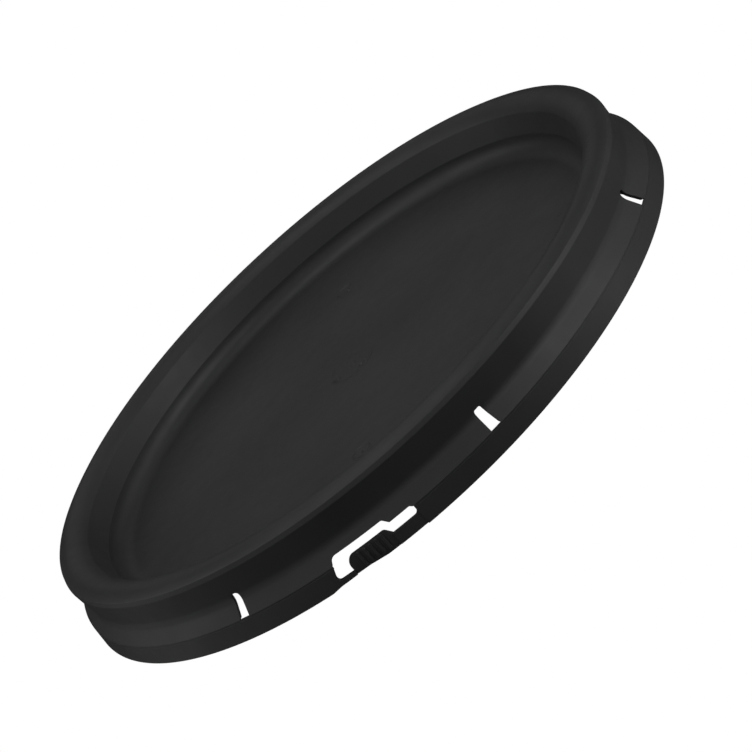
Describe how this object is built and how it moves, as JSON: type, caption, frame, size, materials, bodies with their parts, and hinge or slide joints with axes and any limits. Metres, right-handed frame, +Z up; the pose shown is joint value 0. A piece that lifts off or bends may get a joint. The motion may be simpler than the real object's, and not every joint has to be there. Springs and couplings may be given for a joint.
{
  "type": "tear-strip pail lid",
  "caption": "Round press-on plastic lid for an open-head pail or drum, with a sunk panel, slotted skirt, tear strip, hinged pull tab and rim gasket.",
  "frame": {"origin": "centre of the skirt's lower edge, in the plane the lid stands on", "axes": "+Z up through the panel along the lid's axis, -Y towards the pull tab"},
  "size_m": [0.312, 0.3118, 0.0305],
  "materials": {
    "lid_plastic": "black high-density polyethylene, satin, as moulded",
    "strip_plastic": "black high-density polyethylene, satin, as moulded",
    "gasket_rubber": "matt black rubber"
  },
  "bodies": {
    "tear_strip": {"tear_strip": "strip_plastic", "tear_web": "strip_plastic", "tail_bar": "strip_plastic"},
    "lid_shell": {"panel_floor": "lid_plastic", "panel_wall": "lid_plastic", "gate_stubs": "lid_plastic", "plug_wall": "lid_plastic", "rim_crown": "lid_plastic", "neck_wall": "lid_plastic", "skirt_flare": "lid_plastic", "lock_beads": "lid_plastic", "sealing_gasket": "gasket_rubber"},
    "pull_tab": {"tab_pad": "strip_plastic", "tab_ribs": "strip_plastic", "tab_tongue": "strip_plastic"}
  },
  "joints": [
    {"name": "strip_release", "type": "slide", "parent": "tear_strip", "child": "lid_shell", "axis": [0, 0, 1], "range_m": [0, 0.05]},
    {"name": "tab_swing", "type": "hinge", "parent": "tear_strip", "child": "pull_tab", "pos_m": [0.02015, -0.15479, 0.0029], "axis": [0, 0, 1], "range_deg": [0, 100], "stiffness_Nm_per_rad": 0.01}
  ]
}
